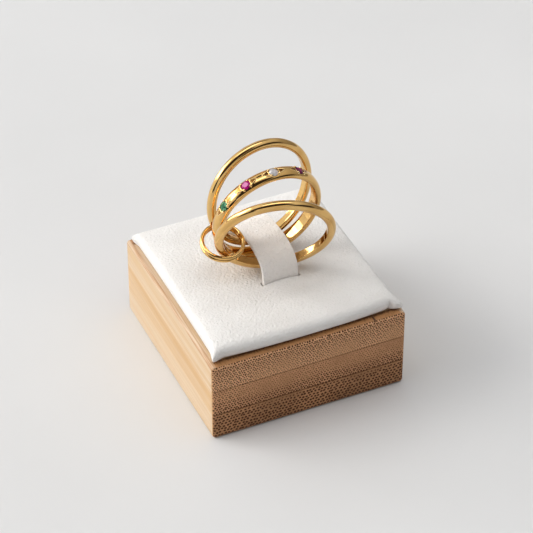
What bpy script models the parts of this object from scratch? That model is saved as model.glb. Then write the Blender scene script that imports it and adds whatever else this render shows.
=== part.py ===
"""Ring of three linked gold bands on its display block.

Frame: metres, +Z up, origin at the middle of the block's underside. +X runs along the
block's end-grain face, which looks towards -Y. The bands stand over the strap, fanned
out from the two wire rings that hold them together on the -X side.
"""
import math

import bmesh
import bpy
import numpy as np
from mathutils import Euler, Matrix, Vector

MM = 0.001

# Block of the stand
BLOCK_WIDTH = 38.0 * MM
BLOCK_DEPTH = 40.3 * MM
BLOCK_HEIGHT = 16.5 * MM
BLOCK_EDGE = 0.8 * MM

# Pad on the block
PAD_SIDE_RIM = 1.0 * MM
PAD_END_RIM = 1.7 * MM
PAD_THICK = 3.1 * MM
PAD_TOP_ROUND = 1.2 * MM
PAD_CORNER = 1.5 * MM
SEAT_GAP = 0.3 * MM

# Strap through the pad
STRAP_WIDTH = 6.9 * MM
STRAP_THICK = 0.75 * MM
STRAP_LINK_GAP = 0.1 * MM
STRAP_SKEW = -1.0 * MM
STRAP_LEAD = 0.6 * MM
STRAP_TAIL = 5.2 * MM
STRAP_CLEAR = 0.15 * MM
STRAP_TUCK = 1.9 * MM
STRAP_FULLNESS = 2.6
STRAP_STEPS = 24
SLIT_GAP = 0.2 * MM
SLIT_OVERCUT = 0.55 * MM

# Bands: one finger size, three sections
FINGER_RADIUS = 9.4 * MM
METAL_GAP = 0.12 * MM
INSIDE_FLAT_SHARE = 0.68
EDGE_HEIGHT_SHARE = 0.10
EDGE_WIDTH_SHARE = 0.88
SIDE_HEIGHT_SHARE = 0.36
BAND_STEPS = 72
DOME_STEPS = 8
SEARCH_STEPS = 24
SURFACE_STEPS = 8 * BAND_STEPS
REAR = {"width": 1.76 * MM, "thick": 1.52 * MM, "lean": -2.5, "turn": 7.2}
MIDDLE = {"width": 2.75 * MM, "thick": 1.33 * MM, "lean": 10.5, "turn": 2.7}
FRONT = {"width": 1.80 * MM, "thick": 1.57 * MM, "lean": 21.3, "turn": -15.6}

# Places of the bands' centres: shares of the finger radius, and the rear one's step behind the middle one
REAR_X_SHARE = 0.087
REAR_STEP = 3.4 * MM
MIDDLE_X_SHARE = 0.074
FRONT_X_SHARE = -0.039
FRONT_Y_SHARE = -0.617

# Wire rings
LINK_WIRE = 0.62 * MM
LINK_LEAN = 17.3
LINK_TURN = 5.9
LINK_HEIGHT_SHARE = 0.71
LINK_STEPS = 16
LINK_WIRE_STEPS = 6
CIRCLE_STEPS = 3000

# Stones and their seats
STONE_DIAMETER = 1.76 * MM
STONE_STEP = 30.4
FIRST_STONE = 148.8
STONES = ("stone_emerald", "stone_ruby_left", "stone_diamond", "stone_ruby_right")
STONE_GAP = 0.05 * MM
GIRDLE_SIDES = 16
TABLE_SHARE = 0.56
CROWN_SHARE = 0.15
GIRDLE_SHARE = 0.03
PAVILION_SHARE = 0.43
KITE_REACH_SHARE = 0.80
KITE_HEIGHT_SHARE = 0.52
MAIN_REACH_SHARE = 0.45
MAIN_DEPTH_SHARE = 0.56
GRAIN_RADIUS = 0.15 * MM
GRAIN_SINK_SHARE = 0.2
MARK_LENGTH = 1.3 * MM
MARK_WIDTH = 0.75 * MM
MARK_DEPTH = 0.16 * MM

PAD_TOP = BLOCK_HEIGHT + SEAT_GAP + PAD_THICK

COLOURS = {
    "bamboo": ((0.62, 0.40, 0.22), 0.55, 0.0),
    "leather": ((0.83, 0.81, 0.78), 0.60, 0.0),
    "gold": ((0.90, 0.62, 0.26), 0.16, 1.0),
    "stone_emerald": ((0.02, 0.30, 0.12), 0.05, 0.0),
    "stone_ruby_left": ((0.60, 0.02, 0.25), 0.05, 0.0),
    "stone_diamond": ((0.85, 0.86, 0.88), 0.03, 0.0),
    "stone_ruby_right": ((0.35, 0.01, 0.12), 0.05, 0.0),
}


def clear_scene():
    for obj in list(bpy.data.objects):
        bpy.data.objects.remove(obj, do_unlink=True)


def material(name):
    colour, roughness, metallic = COLOURS[name]
    mat = bpy.data.materials.new(name)
    mat.use_nodes = True
    shader = mat.node_tree.nodes["Principled BSDF"]
    shader.inputs["Base Color"].default_value = (*colour, 1.0)
    shader.inputs["Roughness"].default_value = roughness
    shader.inputs["Metallic"].default_value = metallic
    return mat


def add_object(name, bm, mat=None, smooth=None):
    """Turn a bmesh into a named object, shaded smooth below the given angle."""
    mesh = bpy.data.meshes.new(name)
    bmesh.ops.recalc_face_normals(bm, faces=bm.faces)
    bm.to_mesh(mesh)
    bm.free()
    if smooth is not None:
        mesh.shade_smooth()
        mesh.set_sharp_from_angle(angle=math.radians(smooth))
    obj = bpy.data.objects.new(name, mesh)
    bpy.context.collection.objects.link(obj)
    if mat is not None:
        mesh.materials.append(mat)
    return obj


def as_cutter(obj):
    obj.hide_render = True
    obj.display_type = "WIRE"
    return obj


def add_boolean(obj, other, operation):
    mod = obj.modifiers.new(other.name, "BOOLEAN")
    mod.operation = operation
    mod.solver = "EXACT"
    mod.object = other


def box_mesh(width, depth, height):
    """Box standing on its own origin, centred in X and Y."""
    bm = bmesh.new()
    bmesh.ops.create_cube(bm, size=1.0)
    bmesh.ops.scale(bm, vec=(width, depth, height), verts=bm.verts)
    bmesh.ops.translate(bm, vec=(0, 0, height / 2), verts=bm.verts)
    return bm


def bevel_edges(bm, chosen, offset, segments):
    edges = [e for e in bm.edges if chosen(e)]
    bmesh.ops.bevel(bm, geom=edges, offset=offset, segments=segments, profile=0.5,
                    affect="EDGES", clamp_overlap=True)


def is_upright(edge):
    a, b = edge.verts
    return abs(a.co.z - b.co.z) > 0.5 * max(edge.calc_length(), 1e-9)


# Stand

def build_block():
    bm = box_mesh(BLOCK_WIDTH, BLOCK_DEPTH, BLOCK_HEIGHT)
    bevel_edges(bm, lambda e: True, BLOCK_EDGE, 2)
    return add_object("block", bm, material("bamboo"), smooth=50)


def build_pad(leather, arch):
    width = BLOCK_WIDTH - 2 * PAD_SIDE_RIM
    depth = BLOCK_DEPTH - 2 * PAD_END_RIM
    bm = box_mesh(width, depth, PAD_THICK)
    bevel_edges(bm, is_upright, PAD_CORNER, 4)
    top = PAD_THICK - 1e-6
    bevel_edges(bm, lambda e: min(v.co.z for v in e.verts) > top, PAD_TOP_ROUND, 4)
    pad = add_object("pad", bm, leather, smooth=50)
    pad.location = (0, 0, PAD_TOP - PAD_THICK)

    cut_depth = STRAP_TUCK + SLIT_GAP
    for name, side in (("slit_cutter_front", -1), ("slit_cutter_back", 1)):
        bm = box_mesh(STRAP_WIDTH + 2 * SLIT_OVERCUT, STRAP_THICK + 2 * SLIT_GAP, 2 * cut_depth)
        cutter = as_cutter(add_object(name, bm))
        place = arch["middle"] + side * (arch["half"] + STRAP_THICK / 2)
        cutter.location = (arch["shift"] + (1 + side) / 2 * STRAP_SKEW, place, PAD_TOP - cut_depth)
        add_boolean(pad, cutter, "DIFFERENCE")


def arch_height(share):
    """Height of the strap's arch, as a share of its rise, at a share of its half span."""
    return max(0.0, 1 - abs(share) ** STRAP_FULLNESS) ** (1 / STRAP_FULLNESS)


def strap_shift():
    """Place of the strap's middle at its front slit: its back corner just clears the wire rings."""
    centres, inner = link_places()
    outer = inner / math.cos(math.pi / LINK_STEPS) + LINK_WIRE
    return max(centre[0] for centre in centres) + outer + STRAP_LINK_GAP + STRAP_WIDTH / 2 - STRAP_SKEW


def fit_arch():
    """Underside of the strap: it spans the bands' feet and rises just clear of them."""
    shift = strap_shift()
    reach = STRAP_WIDTH / 2 + abs(STRAP_SKEW) + STRAP_CLEAR
    feet = []
    for band in (REAR, MIDDLE, FRONT):
        points = surface(band) + band["centre"]
        under = (abs(points[:, 0] - shift) < reach) & (points[:, 2] < band["centre"][2])
        feet.append(points[under])
    feet = np.concatenate(feet)
    front, back = feet[:, 1].min() - STRAP_LEAD, feet[:, 1].max() + STRAP_TAIL
    middle, half = (front + back) / 2, (back - front) / 2
    rise = max((z + STRAP_CLEAR - PAD_TOP) / arch_height((y - middle) / half) for _, y, z in feet)
    return {"middle": middle, "half": half, "rise": rise, "shift": shift}


def build_strap(leather, arch):
    """Leather strip bent over the arch, its ends tucked into the pad's slits."""
    half, rise = arch["half"], arch["rise"]
    under = [(-half, -STRAP_TUCK)]
    for i in range(STRAP_STEPS + 1):
        share = -math.cos(math.pi * i / STRAP_STEPS)
        under.append((half * share, rise * arch_height(share)))
    under.append((half, -STRAP_TUCK))

    bm = bmesh.new()
    inner, outer = [], []
    for i, (y, z) in enumerate(under):
        before, after = under[max(i - 1, 0)], under[min(i + 1, len(under) - 1)]
        out = Vector((before[1] - after[1], after[0] - before[0])).normalized()
        if i in (1, len(under) - 2):
            out = Vector((math.copysign(1, y), 0))
        inner.append(bm.verts.new((0, y, z)))
        outer.append(bm.verts.new((0, y + out.x * STRAP_THICK, z + out.y * STRAP_THICK)))
    strip = [bm.faces.new((outer[i], outer[i + 1], inner[i + 1], inner[i])) for i in range(len(under) - 1)]
    grown = bmesh.ops.extrude_face_region(bm, geom=strip)["geom"]
    moved = [v for v in grown if isinstance(v, bmesh.types.BMVert)]
    bmesh.ops.translate(bm, vec=(STRAP_WIDTH, 0, 0), verts=moved)
    for vert in bm.verts:
        vert.co.x += STRAP_SKEW * min(max((vert.co.y + half) / (2 * half), 0), 1) - STRAP_WIDTH / 2
    strap = add_object("strap", bm, leather, smooth=40)
    strap.location = (arch["shift"], arch["middle"], PAD_TOP)


# Bands

def dome(band, axial):
    """Height of the domed outside above the inside, at a place across the band."""
    side = SIDE_HEIGHT_SHARE * band["thick"]
    return side + (band["thick"] - side) * math.sqrt(max(0.0, 1 - (2 * axial / band["width"]) ** 2))


def section(band):
    """Section of a band as (radius, axial) pairs: flat inside, domed outside."""
    width, thick = band["width"], band["thick"]
    flat = INSIDE_FLAT_SHARE * width / 2
    edge = (EDGE_HEIGHT_SHARE * thick, EDGE_WIDTH_SHARE * width / 2)
    points = [(0, -flat), (0, flat), edge]
    for i in range(DOME_STEPS + 1):
        axial = width / 2 * math.cos(math.pi * i / DOME_STEPS)
        points.append((dome(band, axial), axial))
    points.append((edge[0], -edge[1]))
    return [(FINGER_RADIUS + height, axial) for height, axial in points]


def turned(lean, turn):
    """Rotation of a ring whose axis points forward: lean tips its top towards -Y."""
    return Euler((math.radians(90 + lean), 0, math.radians(turn))).to_matrix()


def ring_mesh(outline, steps):
    """Turn a closed (radius, axial) outline right round the Z axis."""
    bm = bmesh.new()
    verts = [bm.verts.new((radius, 0, axial)) for radius, axial in outline]
    edges = [bm.edges.new((verts[i - 1], verts[i])) for i in range(len(verts))]
    bmesh.ops.spin(bm, geom=verts + edges, cent=(0, 0, 0), axis=(0, 0, 1), angle=2 * math.pi,
                   steps=steps, use_merge=True, use_duplicate=False)
    return bm


def surface(band):
    """Points over a band's surface, turned but not yet moved to its place."""
    rot = np.array(turned(band["lean"], band["turn"]))
    angles = np.linspace(0, 2 * math.pi, SURFACE_STEPS, endpoint=False)
    rings = [np.stack([r * np.cos(angles), r * np.sin(angles), np.full_like(angles, a)], 1)
             for r, a in section(band)]
    return np.concatenate(rings) @ rot.T


def room_between(band, other):
    """Least room between two placed bands, read in the other's own section plane."""
    points = surface(band) + band["centre"] - other["centre"]
    local = points @ np.array(turned(other["lean"], other["turn"]))
    flat = np.stack([np.hypot(local[:, 0], local[:, 1]), local[:, 2]], 1)
    corners = np.array(section(other))
    sides = np.roll(corners, -1, 0) - corners
    outward = np.stack([-sides[:, 1], sides[:, 0]], 1)
    outward /= np.linalg.norm(outward, axis=1)[:, None]
    depth = np.max(np.einsum("pk,sk->ps", flat, outward) - np.sum(corners * outward, 1), 1)
    return float(np.min(depth))


def slide_clear(band, other, direction, reach):
    """Move a band along direction until it just clears the other one."""
    start, low, high = band["centre"], 0.0, reach
    for _ in range(SEARCH_STEPS):
        middle = (low + high) / 2
        band["centre"] = start + np.array(direction) * middle
        free = min(room_between(band, other), room_between(other, band)) > METAL_GAP
        low, high = (low, middle) if free else (middle, high)
    band["centre"] = start + np.array(direction) * high


def rest_on_pad(band, x, y):
    lowest = float(np.min(surface(band)[:, 2]))
    band["centre"] = np.array((x, y, PAD_TOP + METAL_GAP - lowest))


def place_bands():
    """Front and middle bands stand on the pad, and the rear one stands on the middle one."""
    rest_on_pad(FRONT, FRONT_X_SHARE * FINGER_RADIUS, FRONT_Y_SHARE * FINGER_RADIUS)
    rest_on_pad(MIDDLE, MIDDLE_X_SHARE * FINGER_RADIUS, FRONT_Y_SHARE * FINGER_RADIUS)
    slide_clear(MIDDLE, FRONT, (0, 1, 0), FINGER_RADIUS)
    rest_on_pad(REAR, REAR_X_SHARE * FINGER_RADIUS, MIDDLE["centre"][1] + REAR_STEP)
    slide_clear(REAR, MIDDLE, (0, 0, 1), FINGER_RADIUS)


def build_band(name, band, gold):
    obj = add_object(name, ring_mesh(section(band), BAND_STEPS), gold, smooth=40)
    obj.location = band["centre"]
    obj.rotation_euler = turned(band["lean"], band["turn"]).to_euler()
    return obj


# Wire rings

def cut_points(band, point, normal):
    """Where a plane cuts the band's section lines on the -X side of the ring."""
    ex, ey, axis = np.array(turned(band["lean"], band["turn"])).T
    found = []
    for radius, axial in section(band):
        a, b = radius * ex @ normal, radius * ey @ normal
        rest = -(band["centre"] + axial * axis - point) @ normal / math.hypot(a, b)
        swing = math.acos(max(-1.0, min(1.0, rest)))
        ends = [math.atan2(b, a) + side * swing for side in (-1, 1)]
        spots = [band["centre"] + axial * axis + radius * (math.cos(t) * ex + math.sin(t) * ey) for t in ends]
        found.append(min(spots, key=lambda spot: spot[0]))
    return found


def enclosing_circle(points):
    """Smallest circle round flat points: the centre walks towards the farthest one."""
    centre = np.mean(points, 0)
    for i in range(CIRCLE_STEPS):
        far = points[np.argmax(np.linalg.norm(points - centre, axis=1))]
        centre = centre + (far - centre) / (i + 2)
    return centre, float(np.max(np.linalg.norm(points - centre, axis=1)))


def link_places():
    """Centres of the two wire rings, one over the other, and their inner radius."""
    rot = np.array(Euler((math.radians(LINK_LEAN), 0, math.radians(LINK_TURN))).to_matrix())
    across, along, normal = rot.T
    middle = np.array((-FINGER_RADIUS, 0, PAD_TOP + LINK_HEIGHT_SHARE * FINGER_RADIUS))
    spacing = LINK_WIRE + METAL_GAP
    levels = [side * spacing / 2 for side in (1, -1)]
    flat = []
    for level in levels:
        for offset in (-LINK_WIRE / 2, 0, LINK_WIRE / 2):
            for band in (REAR, MIDDLE, FRONT):
                spots = cut_points(band, middle + (level + offset) * normal, normal)
                flat += [((s - middle) @ across, (s - middle) @ along) for s in spots]
    centre, radius = enclosing_circle(np.array(flat))
    axis = middle + centre[0] * across + centre[1] * along
    return [axis + level * normal for level in levels], radius + METAL_GAP


def build_links(gold):
    centres, inner = link_places()
    wire = LINK_WIRE / 2
    middle = inner / math.cos(math.pi / LINK_STEPS) + wire
    outline = [(middle - wire * math.cos(2 * math.pi * i / LINK_WIRE_STEPS),
                -wire * math.sin(2 * math.pi * i / LINK_WIRE_STEPS)) for i in range(LINK_WIRE_STEPS)]
    for name, centre in zip(("link_upper", "link_lower"), centres):
        obj = add_object(name, ring_mesh(outline, LINK_STEPS), gold, smooth=75)
        obj.location = centre
        obj.rotation_euler = (math.radians(LINK_LEAN), 0, math.radians(LINK_TURN))


# Stones, seats, grains and marks

def crown_frame(degrees, along=0.0, axial=0.0, drop=0.0):
    """Frame on the middle band's outside: X along the band, Y across it, Z outwards."""
    angle = math.radians(degrees) + along / (FINGER_RADIUS + MIDDLE["thick"])
    out = Vector((math.cos(angle), math.sin(angle), 0))
    across = Vector((0, 0, 1))
    forward = across.cross(out)
    place = out * (FINGER_RADIUS + dome(MIDDLE, axial) - drop) + across * axial
    return Matrix.Translation(place) @ Matrix((forward, across, out)).transposed().to_4x4()


def stone_angles():
    return [FIRST_STONE - STONE_STEP * i for i in range(len(STONES))]


def girdle_drop():
    """Depth of the girdle below the top of the dome, so that its rim is all in metal."""
    return MIDDLE["thick"] - dome(MIDDLE, STONE_DIAMETER / 2)


def circle(bm, radius, height, sides, turn=0.0):
    return [bm.verts.new((radius * math.cos(2 * math.pi * (i + turn) / sides),
                          radius * math.sin(2 * math.pi * (i + turn) / sides), height))
            for i in range(sides)]


def stone_mesh():
    """Round cut: table, eight main crown facets with stars and halves, and a pavilion."""
    bm = bmesh.new()
    half = STONE_DIAMETER / 2
    crown = CROWN_SHARE * STONE_DIAMETER
    girdle = GIRDLE_SHARE * STONE_DIAMETER
    facets = GIRDLE_SIDES // 2
    table = circle(bm, TABLE_SHARE * half, crown, facets)
    kites = circle(bm, KITE_REACH_SHARE * half, KITE_HEIGHT_SHARE * crown, facets, 0.5)
    upper = circle(bm, half, 0, GIRDLE_SIDES)
    lower = circle(bm, half, -girdle, GIRDLE_SIDES)
    depth = PAVILION_SHARE * STONE_DIAMETER
    mains = circle(bm, MAIN_REACH_SHARE * half, -girdle - MAIN_DEPTH_SHARE * depth, facets, 0.5)
    tip = bm.verts.new((0, 0, -girdle - depth))
    bm.faces.new(table)
    for i in range(facets):
        j, k = (i + 1) % facets, (i - 1) % facets
        bm.faces.new((table[i], kites[i], table[j]))
        bm.faces.new((table[i], kites[k], upper[2 * i], kites[i]))
        bm.faces.new((kites[i], upper[2 * i], upper[2 * i + 1]))
        bm.faces.new((kites[i], upper[2 * i + 1], upper[(2 * i + 2) % GIRDLE_SIDES]))
        bm.faces.new((mains[i], lower[2 * i], lower[2 * i + 1]))
        bm.faces.new((mains[i], lower[2 * i + 1], lower[(2 * i + 2) % GIRDLE_SIDES]))
        bm.faces.new((lower[2 * i], mains[i], tip, mains[k]))
    for i in range(GIRDLE_SIDES):
        j = (i + 1) % GIRDLE_SIDES
        bm.faces.new((upper[i], upper[j], lower[j], lower[i]))
    return bm


def add_seat(bm, frame):
    """Pocket for one stone: straight at the girdle and above, a cone below it."""
    radius = STONE_DIAMETER / 2 + STONE_GAP
    girdle = GIRDLE_SHARE * STONE_DIAMETER + STONE_GAP
    tip = girdle + PAVILION_SHARE * STONE_DIAMETER + STONE_GAP
    top = circle(bm, radius, MIDDLE["thick"], GIRDLE_SIDES)
    low = circle(bm, radius, -girdle, GIRDLE_SIDES)
    point = bm.verts.new((0, 0, -tip))
    bm.faces.new(top)
    for i in range(GIRDLE_SIDES):
        j = (i + 1) % GIRDLE_SIDES
        bm.faces.new((top[i], top[j], low[j], low[i]))
        bm.faces.new((low[i], low[j], point))
    bmesh.ops.transform(bm, matrix=frame, verts=top + low + [point])


def add_mark(bm, frame, heading):
    """Three-sided pit whose long point looks away from the stone."""
    above = 2 * MARK_DEPTH
    grow = (MARK_DEPTH + above) / MARK_DEPTH
    middle = MARK_LENGTH / 3
    corners = [(-middle, -MARK_WIDTH / 2), (-middle, MARK_WIDTH / 2), (MARK_LENGTH - middle, 0)]
    top = [bm.verts.new((heading * x * grow, y * grow, above)) for x, y in corners]
    deep = bm.verts.new((0, 0, -MARK_DEPTH))
    bm.faces.new(top)
    for i in range(3):
        bm.faces.new((top[i], top[(i + 1) % 3], deep))
    bmesh.ops.transform(bm, matrix=frame, verts=top + [deep])


def dress_middle_band(band):
    """Cut seats and marks into the middle band and raise the grains on it."""
    cuts, grains = bmesh.new(), bmesh.new()
    corner = (STONE_DIAMETER / 2 + STONE_GAP + GRAIN_RADIUS) / math.sqrt(2)
    mark_start = STONE_DIAMETER / 2 + 2 * STONE_GAP + GRAIN_RADIUS
    for angle in stone_angles():
        add_seat(cuts, crown_frame(angle, drop=girdle_drop()))
        for side in (-1, 1):
            frame = crown_frame(angle, along=side * (mark_start + MARK_LENGTH / 3))
            add_mark(cuts, frame, side)
            for across in (-1, 1):
                spot = crown_frame(angle, side * corner, across * corner, GRAIN_SINK_SHARE * GRAIN_RADIUS)
                bmesh.ops.create_uvsphere(grains, u_segments=8, v_segments=6,
                                          radius=GRAIN_RADIUS, matrix=spot)
    for name, bm, operation in (("seat_cutter", cuts, "DIFFERENCE"), ("grain_bodies", grains, "UNION")):
        tool = as_cutter(add_object(name, bm))
        tool.parent = band
        add_boolean(band, tool, operation)


def build_stones(band):
    for name, angle in zip(STONES, stone_angles()):
        stone = add_object(name, stone_mesh(), material(name))
        stone.parent = band
        stone.matrix_local = crown_frame(angle, drop=girdle_drop())


def main():
    clear_scene()
    leather, gold = material("leather"), material("gold")
    place_bands()
    arch = fit_arch()
    build_block()
    build_pad(leather, arch)
    build_strap(leather, arch)
    build_band("band_rear", REAR, gold)
    build_band("band_front", FRONT, gold)
    middle = build_band("band_middle", MIDDLE, gold)
    dress_middle_band(middle)
    build_stones(middle)
    build_links(gold)


main()
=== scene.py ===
import math

import bmesh
import bpy
import numpy as np
from mathutils import Euler, Matrix, Vector


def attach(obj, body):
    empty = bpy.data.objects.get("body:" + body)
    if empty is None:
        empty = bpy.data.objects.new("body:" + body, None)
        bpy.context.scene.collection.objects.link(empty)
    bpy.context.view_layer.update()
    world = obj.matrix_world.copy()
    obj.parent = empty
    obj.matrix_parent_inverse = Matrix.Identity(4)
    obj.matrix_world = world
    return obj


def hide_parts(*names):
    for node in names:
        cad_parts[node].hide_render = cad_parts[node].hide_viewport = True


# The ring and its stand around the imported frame: metres, +Z up, origin under the block.
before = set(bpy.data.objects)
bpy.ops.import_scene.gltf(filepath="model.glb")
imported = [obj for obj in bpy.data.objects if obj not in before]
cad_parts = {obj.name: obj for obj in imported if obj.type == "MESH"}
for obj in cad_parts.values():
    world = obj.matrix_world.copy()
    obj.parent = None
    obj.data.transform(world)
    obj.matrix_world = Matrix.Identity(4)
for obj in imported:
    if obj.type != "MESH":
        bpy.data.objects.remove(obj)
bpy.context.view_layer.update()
mm = 0.001


def say(text):
    print("ring scene:", text)


def gridFaces(rows, columns, closedRows=False, closedColumns=False):
    # quads over a grid of points, row by row
    i = np.arange(rows if closedRows else rows - 1)
    j = np.arange(columns if closedColumns else columns - 1)
    a, b = np.meshgrid(i, j, indexing="ij")
    c, d = (a + 1) % rows, (b + 1) % columns
    quads = np.stack([a * columns + b, c * columns + b, c * columns + d, a * columns + d], -1)
    return quads.reshape(-1, 4)


def makePiece(name, points, faces, finishes, smoothAngle=35.0, slots=None):
    # one object from points and faces, where slots gives each face's place in finishes
    mesh = bpy.data.meshes.new(name)
    corners = np.asarray(points, float).reshape(-1, 3).tolist()
    mesh.from_pydata(corners, [], [list(map(int, face)) for face in faces])
    mesh.update()
    bm = bmesh.new()
    bm.from_mesh(mesh)
    bmesh.ops.recalc_face_normals(bm, faces=bm.faces)
    bm.to_mesh(mesh)
    bm.free()
    for finish in finishes:
        mesh.materials.append(finish)
    if slots is not None:
        mesh.polygons.foreach_set("material_index", np.asarray(slots, np.int32))
    if smoothAngle:
        mesh.shade_smooth()
        mesh.set_sharp_from_angle(angle=math.radians(smoothAngle))
    piece = bpy.data.objects.new(name, mesh)
    bpy.context.scene.collection.objects.link(piece)
    return piece


def settle(piece, slotName, *nodes):
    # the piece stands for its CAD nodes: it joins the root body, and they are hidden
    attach(piece, "root")
    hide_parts(*nodes)
    return piece


def waves(x, y, size, seed):
    # soft waves from a few fixed sines: the same every run
    total = 0.0
    for k in range(1, 6):
        angle = seed * 1.7 + k * 2.399
        total = total + np.sin((x * math.cos(angle) + y * math.sin(angle)) * k * 0.8 / size + seed * k) / k
    return total / 2.3


def addNode(tree, kind, values=None, **settings):
    # a new node: a socket among the values is linked, and any other value is set
    made = tree.nodes.new(kind)
    for key, value in settings.items():
        setattr(made, key, value)
    for key, value in (values or {}).items():
        if isinstance(value, bpy.types.NodeSocket):
            tree.links.new(value, made.inputs[key])
        else:
            made.inputs[key].default_value = value
    return made


class Finish:
    # a Principled material with short calls for its nodes
    def __init__(self, name):
        self.material = bpy.data.materials.new(name)
        self.material.use_nodes = True
        self.tree = self.material.node_tree
        self.shader = self.tree.nodes["Principled BSDF"]
        self.place = self.node("ShaderNodeTexCoord").outputs["Object"]

    def node(self, kind, values=None, **settings):
        return addNode(self.tree, kind, values, **settings)

    def math(self, operation, a, b=0.0):
        return self.node("ShaderNodeMath", {0: a, 1: b}, operation=operation).outputs[0]

    def scaled(self, factors):
        return self.node("ShaderNodeMapping", {"Vector": self.place, "Scale": factors}).outputs[0]

    def noise(self, where, scale, detail=2.0, rough=0.5):
        values = {"Vector": where, "Scale": scale, "Detail": detail, "Roughness": rough}
        return self.node("ShaderNodeTexNoise", values).outputs["Fac"]

    def cells(self, where, scale):
        # how far each place is from the border of its cell
        values = {"Vector": where, "Scale": scale}
        return self.node("ShaderNodeTexVoronoi", values, feature="DISTANCE_TO_EDGE").outputs["Distance"]

    def between(self, value, low, high, start=0.0, end=1.0):
        values = {"Value": value, "From Min": low, "From Max": high, "To Min": start, "To Max": end}
        return self.node("ShaderNodeMapRange", values, interpolation_type="SMOOTHSTEP").outputs[0]

    def ramp(self, value, stops):
        made = self.node("ShaderNodeValToRGB", {"Fac": value})
        marks = made.color_ramp.elements
        while len(marks) < len(stops):
            marks.new(0.5)
        for mark, (at, colour) in zip(marks, stops):
            mark.position = at
            mark.color = (*colour, 1.0)
        return made.outputs["Color"]

    def mix(self, share, first, second, blend="MIX"):
        values = {0: share}
        for at, colour in ((6, first), (7, second)):
            values[at] = colour if isinstance(colour, bpy.types.NodeSocket) else (*colour, 1.0)
        return self.node("ShaderNodeMix", values, data_type="RGBA", blend_type=blend).outputs[2]

    def bump(self, height, depth, strength=1.0, under=None):
        values = {"Height": height, "Distance": depth, "Strength": strength}
        if under is not None:
            values["Normal"] = under
        return self.node("ShaderNodeBump", values).outputs[0]

    def set(self, **values):
        for key, value in values.items():
            socket = self.shader.inputs[key.replace("_", " ")]
            if isinstance(value, bpy.types.NodeSocket):
                self.tree.links.new(value, socket)
            else:
                socket.default_value = value
        return self.material


goldLook = {
    "tint": (0.83, 0.545, 0.215),
    "shade": (0.66, 0.385, 0.125),
    "cut": (0.32, 0.135, 0.032),    # the bottoms of engraved marks and seats, painted darker than the metal: painted shade
    "bright": (0.99, 0.80, 0.48),   # raised lips and grains, painted lighter than the metal: a painted highlight
    "polish": 0.04, "worn": 0.08,   # roughness where the metal is bright and where it is rubbed
    "cutMatt": 0.15, "brightMatt": 0.20,
    "cloudScale": 260.0, "rubScale": 2600.0,    # per metre
    "cloudDepth": 0.05, "rubDepth": 0.004,      # mm
    "relief": 0.35,
}


def goldFinish(name, tint, shade, matt=0.0):
    finish, look = Finish(name), goldLook
    cloud = finish.noise(finish.place, look["cloudScale"], 3.0)
    rub = finish.noise(finish.place, look["rubScale"])
    colour = finish.ramp(cloud, [(0.25, shade), (0.75, tint)])
    rough = finish.between(cloud, 0.3, 0.75, look["polish"] + matt, look["worn"] + matt)
    waviness = finish.bump(cloud, look["cloudDepth"] * mm, look["relief"])
    relief = finish.bump(rub, look["rubDepth"] * mm, look["relief"], waviness)
    return finish.set(Base_Color=colour, Metallic=1.0, Roughness=rough, Normal=relief)


leatherLook = {
    "padLight": (0.868, 0.85, 0.828), "padDark": (0.79, 0.765, 0.74),
    # the strap is the same leather as the pad, painted lighter: painted light
    "strapLightWithPaintedLight": (0.99, 0.945, 0.905), "strapDarkWithPaintedLight": (0.93, 0.885, 0.845),
    "strapGrip": 1.3,       # how much deeper the grain of the strap is
    "grainSize": 0.62, "grainDepth": 0.062,     # mm
    "creaseSize": 0.52, "creaseDepth": 0.155,   # mm
    "cloudSize": 6.0,       # mm
    # the second of these darkens the crevices between the pebbles: painted shade
    "cloudDark": 0.82, "paintedCreviceShade": 0.97,
    "rough": (0.50, 0.62), "shine": 0.42, "sheen": 0.08,
}


def leatherFinish(name, light, dark, grip=1.0):
    finish, look = Finish(name), leatherLook
    pebbles = finish.between(finish.cells(finish.place, 1000 / look["grainSize"]), -0.05, 0.45)
    creases = finish.noise(finish.place, 1000 / look["creaseSize"], 3.0, 0.55)
    cloud = finish.noise(finish.place, 1000 / look["cloudSize"], 3.0)
    # random cloud, and the crevices between the pebbles a little darker, which is painted shade
    shade = finish.math("MULTIPLY", finish.between(cloud, 0.25, 0.75, look["cloudDark"], 1.0),
                        finish.between(pebbles, 0.0, 1.0, look["paintedCreviceShade"], 1.0))
    colour = finish.ramp(shade, [(0.70, dark), (1.0, light)])
    folds = finish.bump(creases, grip * look["creaseDepth"] * mm)
    relief = finish.bump(pebbles, grip * look["grainDepth"] * mm, 0.8, folds)
    rough = finish.between(creases, 0.3, 0.7, *look["rough"])
    return finish.set(Base_Color=colour, Roughness=rough, Normal=relief, Specular_IOR_Level=look["shine"],
                      Sheen_Weight=look["sheen"], Sheen_Roughness=0.5)


cameraLook = {
    "focalPixels": 2600.0,
    "framePixels": 533.0,
    "azimuth": -24.36,
    "elevation": 39.06,
    "distance": 485.96,    # mm
    "sideways": 0.513,     # mm
    "upwards": 14.45,      # mm
    "sensor": 36.0,        # mm
    "nearest": 0.01, "farthest": 20.0,    # m
}


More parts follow.
